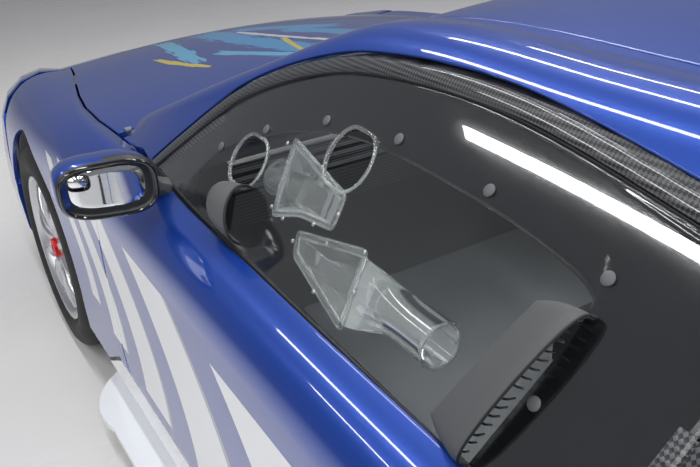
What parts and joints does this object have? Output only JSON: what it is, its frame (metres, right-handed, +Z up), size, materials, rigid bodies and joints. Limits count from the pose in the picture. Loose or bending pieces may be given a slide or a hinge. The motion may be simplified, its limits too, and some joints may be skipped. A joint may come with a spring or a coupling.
{
  "type": "touring car",
  "caption": "Closed two-door circuit touring car with opening doors, bonnet and boot lid, steered front wheels, ducted clear side windows, roll cage and rear wing.",
  "frame": {"origin": "on the ground under the middle of the car's length and width", "axes": "+X towards the nose, +Y to the car's left, +Z up"},
  "size_m": [4.9113, 2.1462, 1.2727],
  "materials": {
    "paint": "deep metallic blue, clear coated",
    "trim": "black moulded plastic",
    "carbon": "woven carbon under clear resin",
    "white": "white gloss paint",
    "clear": "clear polycarbonate",
    "dark_glass": "tinted screen with a black border",
    "grey": "matte grey moulded plastic",
    "lamp": "clear lamp cover",
    "red_lamp": "red lamp cover",
    "cage": "grey painted steel tube",
    "steel": "machined steel",
    "iron": "cast metal",
    "rim": "light grey painted alloy",
    "tyre": "slick racing rubber"
  },
  "bodies": {
    "body": {"body_side_left": "paint", "body_side_right": "paint", "chassis": "cage", "cowl_panel": "trim", "dashboard": "carbon", "engine_block": "iron", "front_bumper": "paint", "front_fenders": "paint", "front_splitter": "carbon", "headlamps": "lamp", "rear_bumper": "paint", "rear_windows": "dark_glass", "roll_cage": "cage", "roof_panel": "paint", "seat": "carbon", "side_skirts": "white", "suspension": "steel", "tail_lamps": "red_lamp", "windscreen": "clear"},
    "door_left": {"door_left": "paint", "window_frame_left": "carbon", "door_window_left": "clear", "window_ducts_left": "clear", "window_scoops_left": "grey", "mirror_left": "paint"},
    "door_right": {"door_right": "paint", "window_frame_right": "carbon", "door_window_right": "clear", "window_ducts_right": "clear", "window_scoops_right": "grey", "mirror_right": "paint"},
    "bonnet": {"bonnet": "paint"},
    "boot_lid": {"boot_lid": "paint", "rear_wing": "carbon"},
    "steering_wheel": {"steering_wheel": "trim"},
    "knuckle_left": {"knuckle_left": "steel"},
    "knuckle_right": {"knuckle_right": "steel"},
    "wheel_front_left": {"rim_front_left": "rim", "tyre_front_left": "tyre"},
    "wheel_front_right": {"rim_front_right": "rim", "tyre_front_right": "tyre"},
    "wheel_rear_left": {"rim_rear_left": "rim", "tyre_rear_left": "tyre"},
    "wheel_rear_right": {"rim_rear_right": "rim", "tyre_rear_right": "tyre"}
  },
  "joints": [
    {"name": "steer_left", "type": "hinge", "parent": "body", "child": "knuckle_left", "pos_m": [1.475, 0.8, 0.34], "axis": [0, 0, 1], "range_deg": [-20, 20]},
    {"name": "steer_right", "type": "hinge", "parent": "body", "child": "knuckle_right", "pos_m": [1.475, -0.8, 0.34], "axis": [0, 0, 1], "range_deg": [-20, 20]},
    {"name": "steering_wheel_turn", "type": "hinge", "parent": "body", "child": "steering_wheel", "pos_m": [0.33, -0.33, 0.79], "axis": [-0.9272, 0, 0.3746], "range_deg": [-240, 240]},
    {"name": "door_left_swing", "type": "hinge", "parent": "body", "child": "door_left", "pos_m": [0.655, 0.931, 0.585], "axis": [0, 0, -1], "range_deg": [0, 60]},
    {"name": "door_right_swing", "type": "hinge", "parent": "body", "child": "door_right", "pos_m": [0.655, -0.931, 0.585], "axis": [0, 0, 1], "range_deg": [0, 60]},
    {"name": "bonnet_lift", "type": "hinge", "parent": "body", "child": "bonnet", "pos_m": [0.955, 0, 0.862], "axis": [0, -1, 0], "range_deg": [0, 45]},
    {"name": "boot_lift", "type": "hinge", "parent": "body", "child": "boot_lid", "pos_m": [-1.6, 0, 0.989], "axis": [0, 1, 0], "range_deg": [0, 45]},
    {"name": "wheel_front_left_spin", "type": "hinge", "parent": "knuckle_left", "child": "wheel_front_left", "pos_m": [1.475, 0.812, 0.34], "axis": [0, 1, 0], "continuous": true},
    {"name": "wheel_rear_left_spin", "type": "hinge", "parent": "body", "child": "wheel_rear_left", "pos_m": [-1.305, 0.82, 0.34], "axis": [0, 1, 0], "continuous": true},
    {"name": "wheel_front_right_spin", "type": "hinge", "parent": "knuckle_right", "child": "wheel_front_right", "pos_m": [1.475, -0.812, 0.34], "axis": [0, 1, 0], "continuous": true},
    {"name": "wheel_rear_right_spin", "type": "hinge", "parent": "body", "child": "wheel_rear_right", "pos_m": [-1.305, -0.82, 0.34], "axis": [0, 1, 0], "continuous": true}
  ],
  "couplings": [
    {"joint": "steer_right", "follows": "steer_left", "ratio": 1},
    {"joint": "steering_wheel_turn", "follows": "steer_left", "ratio": 12}
  ]
}
